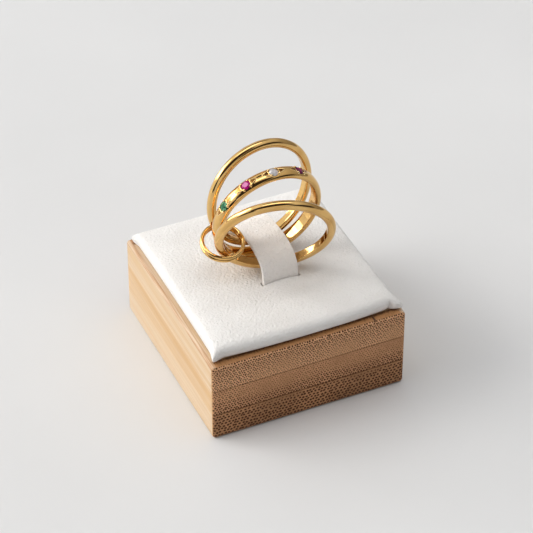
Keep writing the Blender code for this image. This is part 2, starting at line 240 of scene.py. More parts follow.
def placeCamera(look):
    az, el = math.radians(look["azimuth"]), math.radians(look["elevation"])
    back = Vector((math.sin(az) * math.cos(el), -math.cos(az) * math.cos(el), math.sin(el)))
    right = Vector((math.cos(az), math.sin(az), 0))
    up = back.cross(right)
    lens = bpy.data.cameras.new("photoCamera")
    lens.sensor_width = look["sensor"]
    lens.lens = look["focalPixels"] * lens.sensor_width / look["framePixels"]
    lens.clip_start, lens.clip_end = look["nearest"], look["farthest"]
    camera = bpy.data.objects.new("photoCamera", lens)
    bpy.context.scene.collection.objects.link(camera)
    spot = (back * look["distance"] + right * look["sideways"] + up * look["upwards"]) * mm
    camera.matrix_world = Matrix.Translation(spot) @ Matrix((right, up, back)).transposed().to_4x4()
    bpy.context.scene.camera = camera


lights = {
    "keySoftbox": {"place": (-0.60, 0.42, 0.62), "aim": (0, 0, 0.025), "side": 0.34,    # m
                   "watts": 1.8, "colour": (1.0, 0.985, 0.96)},
}


def placeLights():
    for name, look in lights.items():
        lamp = bpy.data.lights.new(name, "AREA")
        lamp.shape = "RECTANGLE"
        lamp.size, lamp.size_y = look["side"], look["side"]
        lamp.energy = look["watts"]
        lamp.color = look["colour"]
        holder = bpy.data.objects.new(name, lamp)
        bpy.context.scene.collection.objects.link(holder)
        holder.location = look["place"]
        ahead = Vector(look["aim"]) - Vector(look["place"])
        holder.rotation_euler = ahead.to_track_quat("-Z", "Y").to_euler()


dimStrip = (0.045, 0.038, 0.032)

roomLook = {
    "bright": (1.04, 1.05, 1.07),
    "dim": (0.28, 0.275, 0.27),
    "brightSide": (-0.58, -0.04, 0.81),
    "dimStart": -0.6, "brightEnd": 0.85,    # where the walls start and stop getting lighter
}

# dim strips and bright windows for the metal to mirror: direction, how much narrower than a
# round spot along each axis, where each starts and stops to fade, and its colour
roomPatches = [
    {"at": (-0.36, -0.62, 0.70), "narrow": (0.62, 1.0, 1.15), "fade": (0.42, 0.52), "colour": dimStrip},
    {"at": (-0.84, -0.52, 0.10), "narrow": (1.0, 1.0, 1.0), "fade": (0.24, 0.36), "colour": dimStrip},
    {"at": (0.30, 0.50, 0.80), "narrow": (0.55, 1.7, 1.3), "fade": (0.24, 0.34), "colour": dimStrip},
    {"at": (0.55, -0.75, 0.30), "narrow": (0.80, 0.8, 1.6), "fade": (0.30, 0.44), "colour": dimStrip},
    {"at": (0.10, 0.02, 1.0), "narrow": (0.40, 2.6, 1.0), "fade": (0.17, 0.23), "colour": (4.4, 4.35, 4.25)},
    {"at": (-0.84, 0.20, 0.50), "narrow": (1.0, 1.0, 1.0), "fade": (0.15, 0.20), "colour": (7.0, 6.9, 6.6)},
    {"at": (-0.77, 0.47, 0.42), "narrow": (1.0, 1.0, 1.0), "fade": (0.14, 0.20), "colour": (4.8, 4.7, 4.5)},
    {"at": (-0.62, 0.74, 0.24), "narrow": (1.0, 1.0, 1.0), "fade": (0.18, 0.24), "colour": (6.0, 5.9, 5.7)},
]


def makeRoom(look):
    # a pale room, lighter above and to the left
    world = bpy.data.worlds.new("paleRoom")
    world.use_nodes = True
    bpy.context.scene.world = world
    tree = world.node_tree

    def node(kind, values, **settings):
        return addNode(tree, kind, values, **settings).outputs

    def smooth(value, low, high):
        values = {"Value": value, "From Min": low, "From Max": high}
        return node("ShaderNodeMapRange", values, interpolation_type="SMOOTHSTEP")[0]

    way = addNode(tree, "ShaderNodeTexCoord").outputs["Generated"]
    toward = node("ShaderNodeVectorMath", {0: way, 1: Vector(look["brightSide"]).normalized()},
                  operation="DOT_PRODUCT")["Value"]
    walls = node("ShaderNodeMix", {0: smooth(toward, look["dimStart"], look["brightEnd"]),
                                   6: (*look["dim"], 1), 7: (*look["bright"], 1)}, data_type="RGBA")[2]
    for patch in roomPatches:
        centre = Vector(patch["at"]).normalized()
        aside = node("ShaderNodeVectorMath", {0: way, 1: centre}, operation="SUBTRACT")[0]
        aside = node("ShaderNodeVectorMath", {0: aside, 1: patch["narrow"]}, operation="MULTIPLY")[0]
        far = node("ShaderNodeVectorMath", {0: aside}, operation="LENGTH")["Value"]
        walls = node("ShaderNodeMix", {0: smooth(far, *patch["fade"]), 6: (*patch["colour"], 1), 7: walls},
                     data_type="RGBA")[2]
    tree.links.new(walls, tree.nodes["Background"].inputs["Color"])


floorLook = {
    "reach": 1.6,          # m
    "squares": 8,
    "tint": (0.75, 0.75, 0.75), "patch": (0.72, 0.72, 0.72),
    "cloudScale": 14.0,    # per metre
    "rough": 0.55,
}


def makeFloor(look):
    finish = Finish("paleFloor")
    cloud = finish.noise(finish.place, look["cloudScale"], 3.0)
    colour = finish.ramp(cloud, [(0.35, look["patch"]), (0.65, look["tint"])])
    finish.set(Base_Color=colour, Roughness=look["rough"])
    side = np.linspace(-look["reach"], look["reach"], look["squares"] + 1)
    x, y = np.meshgrid(side, side, indexing="ij")
    points = np.stack([x, y, np.zeros_like(x)], -1)
    floor = makePiece("floor", points, gridFaces(*x.shape), [finish.material])


bpy.context.scene.view_settings.view_transform = "Standard"
placeCamera(cameraLook)
placeLights()
makeRoom(roomLook)
makeFloor(floorLook)
say("camera, lights and floor are set")


blockSize = {
    "width": 38.0, "depth": 40.3, "height": 16.5,   # mm
    "edge": 0.55, "tightest": 0.05,                 # rounding of every edge, and the least of a corner
    "cornerSteps": 6, "sideSteps": 40, "edgeSteps": 6,
    "glueLines": (5.5, 11.0),
    "glueDepth": 0.035, "glueWidth": 0.10,
    "glueReach": 2.6,      # how far the flat part reaches on both sides of a glue line
    "wear": 0.02, "flatWear": 0.25,                 # mm at the edges, and its share on the flats
}

bambooLook = {
    "paleLong": (0.74, 0.585, 0.42),
    "honeyLong": (0.69, 0.49, 0.285),
    "streak": (0.53, 0.315, 0.14), "streakShare": 0.42,
    "middleTone": (0.96, 0.88, 0.76),
    "rimPaintedShadow": (0.18, 0.080, 0.030),    # painted shadow from the pad on the strips of the top that show before and behind the pad
    # painted shade on those strips further from the pad, and the dark fibres of the pale top strips and of
    # the arris
    "shadedRimAndStreak": (0.44, 0.205, 0.075),
    "arris": (0.66, 0.38, 0.18),
    # where each tone of the block fades in, mm from its middle or its underside
    "middleFade": (2.6, 2.9), "topFade": (15.9, 16.15), "padFade": (18.0, 18.3),
    "rimShadowFade": (18.4, 19.1), "cornerFade": (17.9, 18.5), "arrisFade": (19.55, 19.75),
    "fibre": (0.22, 14.0), "broad": (1.3, 45.0), "grit": (0.30, 0.9),    # width and length, mm
    "fibreDepth": 0.02,                 # mm
    # one short crack in the front edge: mm right of the middle, fading width, place and wander
    "crack": {"x": 12.8, "wide": (0.30, 0.10), "y": (-18.6, -18.9), "wander": 0.25},
    # end grain: light and dark tone of each layer, from the lowest up
    "endLight": [(0.57, 0.290, 0.140), (0.70, 0.370, 0.190), (0.83, 0.465, 0.252)],
    "endDark": [(0.33, 0.165, 0.078), (0.47, 0.237, 0.116), (0.60, 0.324, 0.167)],
    "cloudScale": 170.0, "fleckScale": 3200.0, "bendScale": 420.0,       # per metre
    "pore": (0.085, 0.032, 0.012), "poreDepth": 0.06,                    # mm
    "poreSteps": [0.68, 0.54, 0.49],    # mm between pores in each layer
    "poreRow": 0.88,                    # height of a row of pores as a share of that step
    "poreBend": 0.42,                   # mm that the rows wander
    "poreSize": (0.23, 0.39), "poreSoft": 0.10, "loose": 0.36,           # as shares of that step
    "cloudShare": 0.15, "halo": (1.28, 0.92),
    "roughEnd": 0.62, "shineEnd": 0.14, "roughLong": (0.42, 0.55), "shineLong": 0.35,
    "seam": (0.12, 0.050, 0.020), "seamDark": [0.75, 0.45], "seamFade": (0.19, 0.05),
    # how crowded and dark the pores are, from the bottom of the block to its top
    "skin": [(0.0, 1.0), (0.12, 0.95), (0.27, 0.74), (0.325, 0.42), (0.335, 1.0), (0.42, 0.80), (0.50, 0.50),
             (0.62, 0.38), (0.665, 0.42), (0.69, 0.52), (0.80, 0.60), (0.93, 0.75), (1.0, 0.85)],
}


def byLayer(finish, layer, values):
    # one value or colour for each of the three glued layers
    first = finish.math("LESS_THAN", layer, 0.5)
    last = finish.math("GREATER_THAN", layer, 1.5)
    if isinstance(values[0], tuple):
        return finish.mix(last, finish.mix(first, values[1], values[0]), values[2])
    low = finish.math("ADD", values[1], finish.math("MULTIPLY", first, values[0] - values[1]))
    return finish.math("ADD", low, finish.math("MULTIPLY", last, values[2] - values[1]))


def bambooEnd(look):
    # end grain: offset rows of dark pores, crowded towards the outer skin of each layer
    finish = Finish("bambooEnd")
    flat = finish.scaled((1, 0, 1))
    swirl = finish.node("ShaderNodeTexNoise", {"Vector": flat, "Scale": look["bendScale"], "Detail": 1.0})
    bend = finish.node("ShaderNodeVectorMath", {0: swirl.outputs["Color"], "Scale": look["poreBend"] * mm},
                       operation="SCALE").outputs[0]
    moved = finish.node("ShaderNodeVectorMath", {0: finish.place, 1: bend}, operation="ADD").outputs[0]
    place = finish.node("ShaderNodeSeparateXYZ", {0: finish.place})
    bent = finish.node("ShaderNodeSeparateXYZ", {0: moved})
    height = finish.math("MULTIPLY", place.outputs["Z"], 3 / (blockSize["height"] * mm))
    layer = finish.math("FLOOR", height)
    # the grid of pores, every second row moved by half a step
    step = finish.math("MULTIPLY", byLayer(finish, layer, look["poreSteps"]), mm)
    rows = finish.math("DIVIDE", bent.outputs["Z"], finish.math("MULTIPLY", step, look["poreRow"]))
    odd = finish.math("MULTIPLY", finish.math("FLOORED_MODULO", finish.math("FLOOR", rows), 2.0), 0.5)
    columns = finish.math("ADD", finish.math("DIVIDE", bent.outputs["X"], step), odd)
    centre = look["loose"] / 2 - 0.5
    spot = finish.node("ShaderNodeCombineXYZ", {0: finish.math("ADD", columns, centre),
                                                1: finish.math("ADD", rows, centre)}).outputs[0]
    values = {"Vector": spot, "Scale": 1.0, "Randomness": look["loose"]}
    pores = finish.node("ShaderNodeTexVoronoi", values, voronoi_dimensions="2D").outputs["Distance"]
    # how large and dark they are at each height
    skin = finish.ramp(finish.math("DIVIDE", height, 3.0), [(at, (v, v, v)) for at, v in look["skin"]])
    cloud = finish.noise(finish.place, look["cloudScale"], 3.0)
    share = finish.math("ADD", skin, finish.between(cloud, 0.3, 0.7, -look["cloudShare"], look["cloudShare"]))
    edge = finish.between(share, 0.0, 1.0, *look["poreSize"])
    hole = finish.between(finish.math("SUBTRACT", edge, pores), -look["poreSoft"], look["poreSoft"])
    depth = finish.math("MULTIPLY", hole, finish.between(share, -0.05, 0.75, 0.42, 1.0))
    # the ground between them, a little lighter round each pore
    light, dark = byLayer(finish, layer, look["endLight"]), byLayer(finish, layer, look["endDark"])
    fleck = finish.noise(finish.place, look["fleckScale"])
    mottle = finish.math("ADD", finish.math("MULTIPLY", cloud, 0.6), finish.math("MULTIPLY", fleck, 0.4))
    ground = finish.mix(finish.between(mottle, 0.30, 0.70), dark, light)
    halo = finish.between(finish.math("SUBTRACT", pores, edge), 0.02, 0.20, *look["halo"])
    grey = finish.node("ShaderNodeCombineXYZ", {0: halo, 1: halo, 2: halo}).outputs[0]
    ground = finish.mix(1.0, ground, grey, "MULTIPLY")
    colour = finish.mix(depth, ground, look["pore"])
    far, near = look["seamFade"]
    for seam, strength in zip(blockSize["glueLines"], look["seamDark"]):
        away = finish.math("ABSOLUTE", finish.math("SUBTRACT", place.outputs["Z"], seam * mm))
        colour = finish.mix(finish.between(away, far * mm, near * mm, 0.0, strength), colour, look["seam"])
    relief = finish.bump(finish.math("SUBTRACT", 1.0, depth), look["poreDepth"] * mm, 0.7)
    return finish.set(Base_Color=colour, Roughness=look["roughEnd"], Normal=relief,
                      Specular_IOR_Level=look["shineEnd"])


def bambooLong(look):
    # long grain: fine pale fibres along Y
    finish = Finish("bambooLong")

    def grain(size, detail, rough=0.5):
        wide, long = size
        return finish.noise(finish.scaled((1000 / wide, 1000 / long, 1000 / wide)), 1.0, detail, rough)

    def fade(value, name):
        start, end = look[name]
        return finish.between(value, start * mm, end * mm)

    fine = grain(look["fibre"], 3.0, 0.6)
    broad = grain(look["broad"], 2.0)
    grit = grain(look["grit"], 2.0, 0.6)
    lines = finish.between(fine, 0.30, 0.72)
    base = finish.ramp(broad, [(0.32, look["honeyLong"]), (0.62, look["paleLong"])])
    streaks = finish.math("MULTIPLY", finish.math("SUBTRACT", 1.0, lines), look["streakShare"])
    colour = finish.mix(streaks, base, look["streak"])
    place = finish.node("ShaderNodeSeparateXYZ", {0: finish.place})
    off = finish.math("SUBTRACT", place.outputs["Z"], blockSize["height"] / 2 * mm)
    outer = fade(finish.math("ABSOLUTE", off), "middleFade")
    colour = finish.mix(1.0, colour, finish.mix(outer, look["middleTone"], (1.0, 1.0, 1.0)), "MULTIPLY")
    # the top: the strips before and behind the pad take a painted shadow from the pad that fades into painted
    # shade; pale at the two long sides
    along = finish.math("ABSOLUTE", place.outputs["Y"])
    across = finish.math("ABSOLUTE", place.outputs["X"])
    top = fade(place.outputs["Z"], "topFade")
    strip = finish.math("ADD", fade(along, "rimShadowFade"), finish.between(grit, 0.35, 0.65, -0.45, 0.45))
    strip = finish.ramp(strip, [(0.05, look["rimPaintedShadow"]), (0.95, look["shadedRimAndStreak"])])
    colour = finish.mix(finish.math("MULTIPLY", top, fade(along, "padFade")), colour, strip)
    corner = finish.math("MULTIPLY", top, fade(across, "cornerFade"))
    colour = finish.mix(corner, colour, finish.mix(lines, look["shadedRimAndStreak"], look["paleLong"]))
    crack = look["crack"]
    wander = finish.math("MULTIPLY", fine, crack["wander"] * mm)
    centre = finish.math("ADD", crack["x"] * mm, wander)
    off = finish.math("ABSOLUTE", finish.math("SUBTRACT", place.outputs["X"], centre))
    split = finish.math("MULTIPLY", finish.between(off, *(at * mm for at in crack["wide"])),
                        finish.between(place.outputs["Y"], *(at * mm for at in crack["y"])))
    colour = finish.mix(finish.math("MULTIPLY", split, top), colour, look["pore"])
    arris = finish.math("MULTIPLY", finish.math("SUBTRACT", 1.0, top), fade(along, "arrisFade"))
    colour = finish.mix(arris, colour, finish.mix(lines, look["shadedRimAndStreak"], look["arris"]))
    relief = finish.bump(fine, look["fibreDepth"] * mm, 0.4)
    rough = finish.between(fine, 0.3, 0.7, *look["roughLong"])
    return finish.set(Base_Color=colour, Roughness=rough, Normal=relief, Specular_IOR_Level=look["shineLong"])


def blockOutline(inset):
    # rounded rectangle, counter-clockwise, moved inwards by inset
    halfX, halfY, edge = blockSize["width"] / 2, blockSize["depth"] / 2, blockSize["edge"]
    radius = max(edge - inset, blockSize["tightest"])
    steps, sides = blockSize["cornerSteps"], blockSize["sideSteps"]

    def onCorner(sx, sy, degrees):
        angle = math.radians(degrees)
        return np.array((sx * (halfX - inset - radius) + radius * math.cos(angle),
                         sy * (halfY - inset - radius) + radius * math.sin(angle)))

    points = []
    corners = [(1, -1, -90), (1, 1, 0), (-1, 1, 90), (-1, -1, 180)]
    for (sx, sy, start), following in zip(corners, corners[1:] + corners[:1]):
        points += [onCorner(sx, sy, start + 90 * k / steps) for k in range(steps + 1)]
        last, ahead = points[-1], onCorner(*following)
        points += [last + (ahead - last) * k / sides for k in range(1, sides)]
    return np.array(points)


def buildBlock():
    edge, height = blockSize["edge"], blockSize["height"]
    turn = np.linspace(0, math.pi / 2, blockSize["edgeSteps"] + 1)
    profile = [(edge * 4, 0.0)]
    profile += [(edge * (1 - math.sin(t)), edge * (1 - math.cos(t))) for t in turn]
    half, reach = blockSize["glueWidth"] / 2, blockSize["glueReach"]
    for line in blockSize["glueLines"]:
        profile += [(0, line - reach), (0, line - half), (blockSize["glueDepth"], line),
                    (0, line + half), (0, line + reach)]
    profile += [(edge * (1 - math.cos(t)), height - edge * (1 - math.sin(t))) for t in turn]
    profile += [(edge * 4, height)]
    rings = []
    for inset, z in profile:
        outline = blockOutline(inset)
        # hand-eased edges: a little uneven, always inwards
        wear = blockSize["wear"] * (1 + waves(outline[:, 0] * 1.3, outline[:, 1] * 1.3 + z, 3.0, 4.0))
        wear *= 1.0 if 0 < inset < edge else blockSize["flatWear"]
        shrink = 1 - wear / (blockSize["width"] / 2)
        rings.append(np.column_stack([outline * shrink[:, None], np.full(len(outline), z)]))
    points = np.array(rings)
    rows, columns = points.shape[:2]
    faces = [list(f) for f in gridFaces(rows, columns, closedColumns=True)]
    faces.append(list(range(columns))[::-1])
    faces.append([(rows - 1) * columns + k for k in range(columns)])
    # end grain where a face looks along Y
    flat = points.reshape(-1, 3)
    slots = []
    for face in faces:
        a, b, c = (flat[face[k]] for k in (0, 1, 2))
        normal = np.cross(b - a, c - b)
        slots.append(1 if abs(normal[1]) > 0.5 * np.linalg.norm(normal) else 0)
    finishes = [bambooLong(bambooLook), bambooEnd(bambooLook)]
    return makePiece("bambooBlock", points * mm, faces, finishes, smoothAngle=30, slots=slots)


settle(buildBlock(), "bamboo", "block")
say("bamboo block is built")


padSize = {
    "halfX": 18.0, "halfY": 18.45, "top": 19.9, "bottom": 16.75,   # mm
    "round": 1.1, "drop": 0.95, "rimSteps": 8,
    "cornerPower": 4.5,    # how square the corners are in plan
    "step": 0.30,
    "crown": 0.75, "crownPower": 7,        # how much the middle stands above the rim, and how flat it is
    "uneven": 0.035,       # how much the top waves
    "bow": 0.18,           # how much the sides and the back pull in between the corners
    "frontSwell": 0.72,    # how much the front stands out instead
    "bowPower": 2.5, "sidePower": 8,       # how even that is along a side, and how close to the edge it stays
    "slitWidth": 7.6, "slitGap": 0.07, "slitDepth": 2.0, "slitEdge": 0.05,
    "lip": 0.38, "lipReach": 0.9,          # how much and how far the leather lifts beside a slit
}

# the sides below the top edge: how far down as a share of the height, and how far in, mm
padSides = [
    {"down": 0.25, "in": 0.0},
    {"down": 0.50, "in": 0.04},
    {"down": 0.75, "in": 0.14},
    {"down": 0.92, "in": 0.34},
    {"down": 1.0, "in": 1.2},
]

# folded corners of the leather: sides of the pad, how far out, wide and down, mm
padFolds = [
    {"x": 1, "y": -1, "outX": 1.05, "outY": 0.95, "wide": 2.3, "down": 0.70},
    {"x": -1, "y": -1, "outX": 0.60, "outY": 0.85, "wide": 1.8, "down": 0.5},
    {"x": -1, "y": 1, "outX": 0.55, "outY": 0.60, "wide": 1.8, "down": 0.5},
    {"x": 1, "y": 1, "outX": 0.60, "outY": 0.80, "wide": 1.6, "down": 0.6},
]

foldPower = 1.3    # how fast a fold fades away from its corner

# the fold that is tucked in at the front, mm
padTuck = {"x": 16.5, "wide": 0.42, "start": 17.9, "reach": 0.9, "in": 0.55, "up": 0.25}

strapSize = {
    "width": 6.9, "thick": 0.75, "shift": 0.5791, "skew": -1.0,     # mm
    "middle": 2.0699, "half": 7.7413, "rise": 5.2657, "fullness": 2.6,
    "tuck": 1.9,
    "edge": 0.16,          # rounding of the cut edges
    "uneven": 0.02,        # how much the upper face waves
    "archSteps": 400, "smoothings": 3, "rows": 170, "columns": 26, "edgeSteps": 4,
}


def linesWith(low, high, step, marks):
    # grid lines from low to high that take in every mark
    stops = sorted(set([low, high] + [m for m in marks if low < m < high]))
    lines = []
    for a, b in zip(stops, stops[1:]):
        count = max(1, round((b - a) / step))
        lines += [a + (b - a) * k / count for k in range(count)]
    return np.array(lines + [high])


def slitPlaces():
    for side in (-1, 1):
        y = strapSize["middle"] + side * (strapSize["half"] + strapSize["thick"] / 2)
        x = strapSize["shift"] + (1 + side) / 2 * strapSize["skew"]
        yield side, x, y


def buildPad():
    size = padSize
    halfX, halfY, rounding = size["halfX"], size["halfY"], size["round"]
    slits = list(slitPlaces())
    halfSlit, halfGap = size["slitWidth"] / 2, strapSize["thick"] / 2 + size["slitGap"]
    rim = [rounding * (1 - math.sin(t)) for t in np.linspace(0, math.pi / 2, size["rimSteps"] + 1)]
    edgeX = [s * (halfX - r) for r in rim for s in (-1, 1)]
    edgeY = [s * (halfY - r) for r in rim for s in (-1, 1)]
    near = (-size["slitEdge"], 0, size["slitEdge"])
    marksX = edgeX + [x + s * (halfSlit + d) for _, x, _ in slits for s in (-1, 1) for d in near]
    marksY = edgeY + [y + s * (halfGap + d) for _, _, y in slits for s in (-1, 1) for d in near]
    x, y = np.meshgrid(linesWith(-halfX, halfX, size["step"], marksX),
                       linesWith(-halfY, halfY, size["step"], marksY), indexing="ij")
    # ease the four corners in plan
    a = np.clip((np.abs(x) - (halfX - rounding)) / rounding, 0, 1)
    b = np.clip((np.abs(y) - (halfY - rounding)) / rounding, 0, 1)
    out, power = np.maximum(a, b), size["cornerPower"]
    ease = out / np.maximum((a ** power + b ** power) ** (1 / power), 1e-9)
    px = np.where(a > 0, np.sign(x) * (halfX - rounding + rounding * a * ease), x)
    py = np.where(b > 0, np.sign(y) * (halfY - rounding + rounding * b * ease), y)
    fall = size["drop"] * (1 - np.sqrt(np.maximum(0, 1 - out ** 2)))
    u, v = px / halfX, py / halfY
    flat = size["crownPower"]
    crown = size["crown"] * ((1 - np.abs(u) ** flat) * (1 - np.abs(v) ** flat) - 1)
    soft = size["uneven"] * waves(px, py, 4.0, 2.0) - size["uneven"]
    z = size["top"] - fall + crown + soft * (1 - out)
    # the leather lifts a little along each slit and sinks into it
    for side, sx, sy in slits:
        along = np.clip(1 - (np.abs(px - sx) / halfSlit) ** 2, 0, 1)
        away = side * (py - sy) - halfGap
        lift = size["lip"] * along * np.exp(-(np.maximum(away, 0) / size["lipReach"]) ** 2)
        z += np.where(away > 0, lift, 0)
        spare = size["slitEdge"] / 2
        inside = (np.abs(px - sx) < halfSlit - spare) & (np.abs(py - sy) < halfGap - spare)
        z = np.where(inside, size["top"] - size["slitDepth"], z)
    # the sides and the back pull in between the corners, and the front stands out
    even, close = size["bowPower"], size["sidePower"]
    px = px * (1 - size["bow"] / halfX * (1 - np.abs(v) ** even) * np.abs(u) ** close)
    pull = np.where(v < 0, -size["frontSwell"], size["bow"])
    py = py * (1 - pull / halfY * (1 - np.abs(u) ** even) * np.abs(v) ** close)
    for fold in padFolds:
        cornerX, cornerY = fold["x"] * halfX, fold["y"] * halfY
        near = np.clip(1 - np.hypot(px - cornerX, py - cornerY) / fold["wide"], 0, 1) ** foldPower
        px = px + fold["x"] * fold["outX"] * near
        py = py + fold["y"] * fold["outY"] * near
        z = z - fold["down"] * near
    tuck = padTuck
    ahead = np.clip((-tuck["start"] - py) / tuck["reach"], 0, 1)
    dent = np.exp(-((px - tuck["x"]) / tuck["wide"]) ** 2) * ahead
    py = py + tuck["in"] * dent
    z = z + tuck["up"] * dent
    rows, columns = x.shape
    points = np.stack([px, py, z], -1).reshape(-1, 3)
    faces = [list(f) for f in gridFaces(rows, columns)]
    # the border goes down the sides in a few steps and turns in under the board
    border = [i * columns for i in range(rows)] + [(rows - 1) * columns + j for j in range(1, columns)]
    border += [i * columns + columns - 1 for i in range(rows - 2, -1, -1)] + list(range(columns - 2, 0, -1))
    last, made, total = list(border), [points], len(points)
    for side in padSides:
        ring = points[border].copy()
        ring[:, 2] = ring[:, 2] + (size["bottom"] - ring[:, 2]) * side["down"]
        ring[:, 0] *= 1 - side["in"] / halfX
        ring[:, 1] *= 1 - side["in"] / halfY
        made.append(ring)
        current = list(range(total, total + len(border)))
        total += len(border)
        faces += [[last[k], last[(k + 1) % len(border)], current[(k + 1) % len(border)], current[k]]
                  for k in range(len(border))]
        last = current
    faces.append(last)
    padLeather = leatherFinish("padLeather", leatherLook["padLight"], leatherLook["padDark"])
    return makePiece("leatherPad", np.concatenate(made) * mm, faces, [padLeather], smoothAngle=50)


pad = settle(buildPad(), "leather", "pad")
say("leather pad is built")


def archHeight(share):
    power = strapSize["fullness"]
    return max(0.0, 1 - abs(share) ** power) ** (1 / power)


def strapLine():
    # underside of the strap from slit to slit, evenly spaced, and its length
    half, tuck, steps = strapSize["half"], strapSize["tuck"], strapSize["archSteps"]
    line = [(-half, -tuck)]
    for k in range(steps + 1):
        share = math.cos(math.pi * k / steps)
        line.append((-half * share, strapSize["rise"] * archHeight(share)))
    line = np.array(line + [(half, -tuck)])
    run = np.concatenate([[0], np.cumsum(np.hypot(*np.diff(line, axis=0).T))])
    at = np.linspace(0, run[-1], strapSize["rows"])
    return np.stack([np.interp(at, run, line[:, 0]), np.interp(at, run, line[:, 1])], 1), run[-1]


def buildStrap():
    size = strapSize
    line, length = strapLine()
    ahead = np.gradient(line, axis=0)
    ahead /= np.linalg.norm(ahead, axis=1)[:, None]
    for _ in range(size["smoothings"]):
        ahead[1:-1] = (ahead[:-2] + 2 * ahead[1:-1] + ahead[2:]) / 4
        ahead /= np.linalg.norm(ahead, axis=1)[:, None]
    out = np.stack([-ahead[:, 1], ahead[:, 0]], 1)
    # section round the strip: flat faces, softly rounded cut edges
    half, thick, edge = size["width"] / 2, size["thick"], size["edge"]
    across = np.linspace(-half + edge, half - edge, size["columns"])
    turn = np.linspace(0, math.pi / 2, size["edgeSteps"] + 1)
    section = [(s, thick) for s in across]
    section += [(half - edge + edge * math.sin(t), thick - edge + edge * math.cos(t)) for t in turn[1:]]
    section += [(half - edge + edge * math.cos(t), edge - edge * math.sin(t)) for t in turn]
    section += [(s, 0) for s in across[::-1][1:]]
    section += [(-half + edge - edge * math.sin(t), edge - edge * math.cos(t)) for t in turn[1:]]
    section += [(-half + edge - edge * math.cos(t), thick - edge + edge * math.sin(t)) for t in turn[:-1]]
    section = np.array(section)
    rows = []
    for (y, z), normal in zip(line, out):
        slant = size["skew"] * min(max((y + size["half"]) / (2 * size["half"]), 0), 1)
        swell = size["uneven"] * (waves(section[:, 0] + y, np.full(len(section), z), 3.0, 1.0) - 1)
        height = section[:, 1] + np.where(section[:, 1] > thick / 2, swell, 0)
        rows.append(np.stack([size["shift"] + slant + section[:, 0],
                              size["middle"] + y + normal[0] * height,
                              padSize["top"] + z + normal[1] * height], 1))
    points = np.array(rows)
    count, around = points.shape[:2]
    faces = [list(f) for f in gridFaces(count, around, closedColumns=True)]
    faces.append(list(range(around)))
    faces.append([(count - 1) * around + k for k in range(around)][::-1])
    say("strap is %.1f mm long" % length)
    # the strap's leather is painted lighter than the pad's: painted light
    strapLeatherWithPaintedLight = leatherFinish("strapLeatherWithPaintedLight", leatherLook["strapLightWithPaintedLight"], leatherLook["strapDarkWithPaintedLight"],
                                 leatherLook["strapGrip"])
    return makePiece("leatherStrap", points * mm, faces, [strapLeatherWithPaintedLight], smoothAngle=50)


settle(buildStrap(), "leather", "strap")
say("leather strap is built")


fingerRadius = 9.4   # mm

bands = {
    "bandRear": {"node": "band_rear", "width": 1.76, "thick": 1.52, "lean": -2.5, "turn": 7.2,
                 "centre": (0.8178, 3.5737, 32.9645)},
    "bandMiddle": {"node": "band_middle", "width": 2.75, "thick": 1.33, "lean": 10.5, "turn": 2.7,
                   "centre": (0.6956, 0.1737, 30.6025)},
    "bandFront": {"node": "band_front", "width": 1.80, "thick": 1.57, "lean": 21.3, "turn": -15.6,
                  "centre": (-0.3666, -5.7998, 30.2945)},
}

bandShape = {
    "side": 0.36,                  # where the dome starts, as a share of the thickness
    "insideFlat": 0.34,            # half of the flat inside, as a share of the width
    "cornerPull": (0.02, 0.47),    # the middle point of a corner's curve, as shares of thickness and width
    "domeSteps": 40, "cornerSteps": 7, "insidePoints": 7, "around": 256,
    # the stone band is finer round each stone: how far, mm, and the two steps, degrees
    "fineReach": 2.75, "fineStep": 0.22, "coarseStep": 1.5, "fineDomeSteps": 104,
    "wall": 0.12,                  # least metal left under a seat, mm
}

stoneSize = {
    "radius": 0.88, "first": 148.8, "step": 30.4, "sink": 0.197,     # mm and degrees
    "table": 0.56, "crown": 0.264, "girdle": 0.053, "pavilion": 0.757,
    # corners between facets: out as a share of the radius, up or down as a share of crown or pavilion
    "kite": (0.80, 0.52), "main": (0.45, 0.56),
}

# the metal round one stone: mm, apart from beadRise and markPower
settingSize = {
    "seat": 0.93, "seatRim": 0.26, "seatDepth": 0.75,
    "bead": 0.24, "beadOut": 1.02, "beadRise": 0.95,
    "markStart": 1.08, "markLength": 1.20, "markWidth": 1.00, "markDepth": 0.15,
    "markPower": 0.85, "bevel": 0.16, "paintedShadeFrom": 0.06,
    "lip": 0.055, "lipWidth": 0.075, "lipStart": 0.1, "lipEnd": 0.15,
    "seatBelow": 0.06, "paintedHighlightAbove": 0.025, "reach": 3.0,
}


def ringTurn(lean, turn):
    return Euler((math.radians(90 + lean), 0, math.radians(turn))).to_matrix()


def domeHeight(band, axial):
    side = bandShape["side"] * band["thick"]
    share = np.clip(2 * np.asarray(axial, float) / band["width"], -1, 1)
    return side + (band["thick"] - side) * np.sqrt(1 - share ** 2)


def bandSection(band, domeSteps):
    # (height over the inside, place across): domed outside, soft corners, flat inside
    width, thick = band["width"], band["thick"]
    q = np.linspace(1, -1, domeSteps + 1)
    axial = width / 2 * np.sin(math.pi / 2 * q)
    outside = np.stack([domeHeight(band, axial), axial], 1)
    t = np.linspace(0, 1, bandShape["cornerSteps"])[1:-1, None]
    pullIn, pullAcross = bandShape["cornerPull"]
    start = np.array([bandShape["side"] * thick, -width / 2])
    bend = np.array([pullIn * thick, -pullAcross * width])
    end = np.array([0.0, -bandShape["insideFlat"] * width])
    corner = start * (1 - t) ** 2 + 2 * bend * t * (1 - t) + end * t ** 2
    across = np.linspace(end[1], -end[1], bandShape["insidePoints"])
    flat = np.stack([np.zeros_like(across), across], 1)
    return np.concatenate([outside, corner, flat, corner[::-1] * (1, -1)]), domeSteps + 1


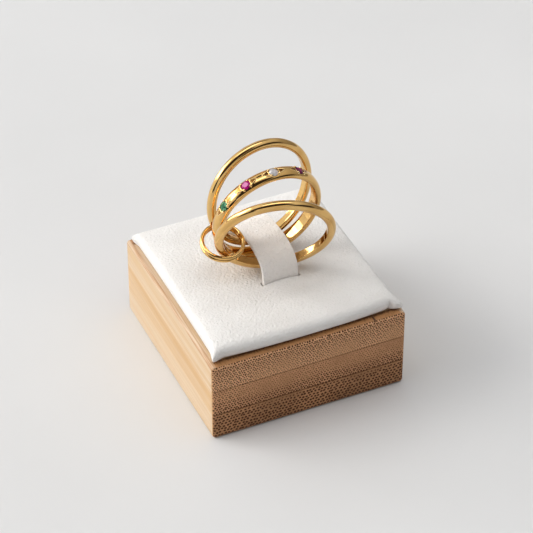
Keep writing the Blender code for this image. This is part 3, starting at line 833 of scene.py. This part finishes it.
def bandPoints(band, angles, section, lift=None):
    radius = fingerRadius + section[None, :, 0] + (0 if lift is None else lift)
    axial = np.broadcast_to(section[None, :, 1], (len(angles), len(section)))
    radius = np.broadcast_to(radius, axial.shape)
    local = np.stack([radius * np.cos(angles)[:, None], radius * np.sin(angles)[:, None], axial], -1)
    return local @ np.array(ringTurn(band["lean"], band["turn"])).T + np.array(band["centre"])


def stoneAngles():
    return [stoneSize["first"] - stoneSize["step"] * k for k in range(4)]


def settingRelief(along, across):
    # height of the metal round one stone: cut marks with their lips, grains and the seat
    size = settingSize
    away, aside = np.hypot(along, across), np.abs(across)
    ahead = np.abs(along) - size["markStart"]
    share = np.clip(ahead / size["markLength"], 0, 1)
    halfWidth = size["markWidth"] / 2 * (1 - share) ** size["markPower"]
    inside = (ahead > 0) & (ahead < size["markLength"]) & (aside < halfWidth)
    off = np.minimum(halfWidth - aside, np.where(aside < halfWidth, ahead, size["reach"]))
    relief = -np.where(inside, size["markDepth"] * np.clip(off / size["bevel"], 0, 1), 0)
    # a raised lip round the cut
    start = np.clip((ahead + 2 * size["lipWidth"]) / size["lipStart"], 0, 1)
    end = np.clip((size["markLength"] + size["lipStart"] - ahead) / size["lipEnd"], 0, 1)
    lip = np.exp(-((off + size["lipWidth"]) / size["lipWidth"]) ** 2) * (start * end)
    relief += size["lip"] * lip
    # the floor of a cut, past its bevel, takes painted shade
    cut = inside & (off > size["paintedShadeFrom"])
    spot = size["beadOut"] / math.sqrt(2)
    for s in (-1, 1):
        for t in (-1, 1):
            d = np.hypot(along - s * spot, across - t * spot)
            bead = np.sqrt(np.maximum(0, size["bead"] ** 2 - d ** 2)) * size["beadRise"]
            relief = np.maximum(relief, bead)
    bowl = -size["seatRim"] - size["seatDepth"] * np.clip(1 - away / size["seat"], 0, 1)
    seat = (away < size["seat"]) & (relief < size["seatBelow"])
    # 1 for the cut and the seat, which take painted shade, 2 for lips and grains, which take a painted
    # highlight
    # raised lips and grains take the gold with a painted highlight
    raised = (relief > size["paintedHighlightAbove"]) & (away < size["reach"])
    kind = np.where(cut | seat, 1, np.where(raised, 2, 0))
    return np.where(seat, bowl, relief), kind


def buildPlainBand(name):
    band = bands[name]
    section, _ = bandSection(band, bandShape["domeSteps"])
    angles = np.linspace(0, 2 * math.pi, bandShape["around"], endpoint=False)
    points = bandPoints(band, angles, section)
    faces = gridFaces(*points.shape[:2], closedRows=True, closedColumns=True)
    settle(makePiece(name, points * mm, faces, [gold], smoothAngle=60), "gold", band["node"])


def buildStoneBand():
    band = bands["bandMiddle"]
    section, outside = bandSection(band, bandShape["fineDomeSteps"])
    outer = fingerRadius + band["thick"]
    reach = bandShape["fineReach"] / outer
    fine, coarse = math.radians(bandShape["fineStep"]), math.radians(bandShape["coarseStep"])
    marks = sorted(math.radians(a) + s * reach for a in stoneAngles() for s in (-1, 1))
    angles = []
    for k, start in enumerate(marks):
        end = marks[k + 1] if k + 1 < len(marks) else marks[0] + 2 * math.pi
        step = fine if k % 2 == 0 else coarse
        count = max(1, round((end - start) / step))
        angles += [start + (end - start) * i / count for i in range(count)]
    angles = np.array(angles)
    lift = np.zeros((len(angles), len(section)))
    kinds = np.zeros(lift.shape, int)
    for stone in stoneAngles():
        offset = (angles - math.radians(stone) + math.pi) % (2 * math.pi) - math.pi
        near = np.abs(offset) < reach
        along = (offset[near] * outer)[:, None] + np.zeros((1, outside))
        across = np.zeros_like(along) + section[None, :outside, 1]
        relief, kind = settingRelief(along, across)
        spots = np.ix_(np.where(near)[0], np.arange(outside))
        lift[spots] += relief
        kinds[spots] = kind
    # nothing lower than a wall above the inside
    spare = section[None, :, 0] - bandShape["wall"]
    lift = np.maximum(lift, -spare * (spare > 0))
    points = bandPoints(band, angles, section, lift)
    faces = gridFaces(*points.shape[:2], closedRows=True, closedColumns=True)
    around = kinds.reshape(-1)[faces]
    slots = np.where((around == 1).sum(1) > 2, 1, np.where((around == 2).sum(1) > 2, 2, 0))
    # plain gold, gold with painted shade for cuts and seats, and gold with a painted highlight for lips and
    # grains
    finishes = [gold, goldPaintedShade, goldPaintedHighlight]
    piece = makePiece("bandMiddle", points * mm, faces, finishes, smoothAngle=38, slots=slots)
    settle(piece, "gold", band["node"])


gold = goldFinish("polishedGold", goldLook["tint"], goldLook["shade"])
# dark gold for the cuts and the seats: painted shade
goldPaintedShade = goldFinish("engravedGoldPaintedShade", goldLook["cut"], goldLook["cut"], goldLook["cutMatt"])
# lighter gold for lips and grains: a painted highlight
goldPaintedHighlight = goldFinish("paintedHighlightGold", goldLook["bright"], goldLook["tint"], goldLook["brightMatt"])
for plain in ("bandRear", "bandFront"):
    buildPlainBand(plain)
buildStoneBand()
say("gold bands are built")


wireRings = {
    "linkUpper": {"node": "link_upper", "centre": (-7.9838, 0.1719, 26.9694)},
    "linkLower": {"node": "link_lower", "centre": (-8.0064, 0.3908, 26.2629)},
}
wireSize = {
    "wire": 0.70, "radius": 3.735,    # mm: how thick the wire is, and the middle line of a ring
    "lean": 17.3, "turn": 5.9,        # degrees
    "around": 128, "section": 24,
}


def buildWireRing(name):
    size = wireSize
    a = np.linspace(0, 2 * math.pi, size["around"], endpoint=False)[:, None]
    b = np.linspace(0, 2 * math.pi, size["section"], endpoint=False)[None, :]
    wire = size["wire"] / 2
    radius = size["radius"] + wire * np.cos(b)
    local = np.stack([radius * np.cos(a), radius * np.sin(a), wire * np.sin(b) + 0 * a], -1)
    turn = np.array(Euler((math.radians(size["lean"]), 0, math.radians(size["turn"]))).to_matrix())
    points = local @ turn.T + np.array(wireRings[name]["centre"])
    faces = gridFaces(*points.shape[:2], closedRows=True, closedColumns=True)
    piece = makePiece(name, points * mm, faces, [gold], smoothAngle=80)
    settle(piece, "gold", wireRings[name]["node"])


for ring in wireRings:
    buildWireRing(ring)
say("wire rings are built")


# clear lets light through, and bend is how strongly the stone bends it; the tone list gives the stone's
# colour with painted light and shade: one for the table, then a dark and a lighter one that take turns on the
# facets
stones = {
    "stoneEmerald": {"node": "stone_emerald", "clear": 0.1, "bend": 1.50,
                     "facetTonesWithPaintedLight": [(0.01, 0.15, 0.06), (0.0, 0.03, 0.012), (0.14, 0.44, 0.24)]},
    "stoneRubyLeft": {"node": "stone_ruby_left", "clear": 0.25, "bend": 1.70,
                      "facetTonesWithPaintedLight": [(0.92, 0.28, 0.60), (0.26, 0.0, 0.09), (0.66, 0.01, 0.29)]},
    "stoneDiamond": {"node": "stone_diamond", "clear": 0.35, "bend": 1.90,
                     "facetTonesWithPaintedLight": [(0.97, 0.92, 0.93), (0.66, 0.58, 0.60), (1.0, 0.98, 0.98)]},
    "stoneRubyRight": {"node": "stone_ruby_right", "clear": 0.2, "bend": 1.45,
                       "facetTonesWithPaintedLight": [(0.38, 0.03, 0.16), (0.10, 0.0, 0.035), (0.26, 0.0, 0.10)]},
}

stoneLook = {"cloudScale": 1500.0, "cloudDark": 0.7, "rough": 0.02}


def stoneFinish(name, tone, stone):
    finish, look = Finish(name), stoneLook
    cloud = finish.noise(finish.place, look["cloudScale"])
    colour = finish.ramp(cloud, [(0.3, tuple(look["cloudDark"] * part for part in tone)), (0.6, tone)])
    return finish.set(Base_Color=colour, Roughness=look["rough"], IOR=stone["bend"],
                      Transmission_Weight=stone["clear"])


def roundCut(size):
    # round brilliant: table, stars, kites, halves, girdle, lower halves and mains
    radius, sides = size["radius"], 16
    points, faces = [], []

    def circle(reach, height, count, turn=0.0):
        first = len(points)
        for k in range(count):
            angle = 2 * math.pi * (k + turn) / count
            points.append((reach * math.cos(angle), reach * math.sin(angle), height))
        return list(range(first, first + count))

    (kiteOut, kiteUp), (mainOut, mainDown) = size["kite"], size["main"]
    table = circle(size["table"] * radius, size["crown"], 8)
    kites = circle(kiteOut * radius, kiteUp * size["crown"], 8, 0.5)
    upper = circle(radius, 0, sides)
    lower = circle(radius, -size["girdle"], sides)
    mains = circle(mainOut * radius, -size["girdle"] - mainDown * size["pavilion"], 8, 0.5)
    points.append((0, 0, -size["girdle"] - size["pavilion"]))
    tip = len(points) - 1
    faces.append(table)
    # slot 0 is the table; 1 and 2 give the facets their painted dark and lighter tones in turn
    slots = [0]
    for i in range(8):
        j, k = (i + 1) % 8, (i - 1) % 8
        faces += [(table[i], kites[i], table[j]), (table[i], kites[k], upper[2 * i], kites[i]),
                  (kites[i], upper[2 * i], upper[2 * i + 1]),
                  (kites[i], upper[2 * i + 1], upper[(2 * i + 2) % sides]),
                  (mains[i], lower[2 * i], lower[2 * i + 1]),
                  (mains[i], lower[2 * i + 1], lower[(2 * i + 2) % sides]),
                  (lower[2 * i], mains[i], tip, mains[k])]
        slots += [1 + i % 2, 2, 1, 2, 1, 2, 1 + i % 2]
    for i in range(sides):
        j = (i + 1) % sides
        faces.append((upper[i], upper[j], lower[j], lower[i]))
        slots.append(1)
    return np.array(points), faces, slots


def buildStones():
    band = bands["bandMiddle"]
    turn = np.array(ringTurn(band["lean"], band["turn"]))
    points, faces, slots = roundCut(stoneSize)
    for (name, stone), degrees in zip(stones.items(), stoneAngles()):
        angle = math.radians(degrees)
        out = np.array((math.cos(angle), math.sin(angle), 0))
        across = np.array((0, 0, 1.0))
        forward = np.cross(across, out)
        height = fingerRadius + band["thick"] - stoneSize["sink"]
        local = points @ np.array((forward, across, out)) + out * height
        world = local @ turn.T + np.array(band["centre"])
        # one finish for each tone: painted light and shade on the stone's facets
        finishes = [stoneFinish("%sTone%d" % (name, k), tone, stone) for k, tone in enumerate(stone["facetTonesWithPaintedLight"])]
        piece = makePiece(name, world * mm, faces, finishes, smoothAngle=None, slots=slots)
        settle(piece, stone["node"], stone["node"])


buildStones()
say("stones are set")
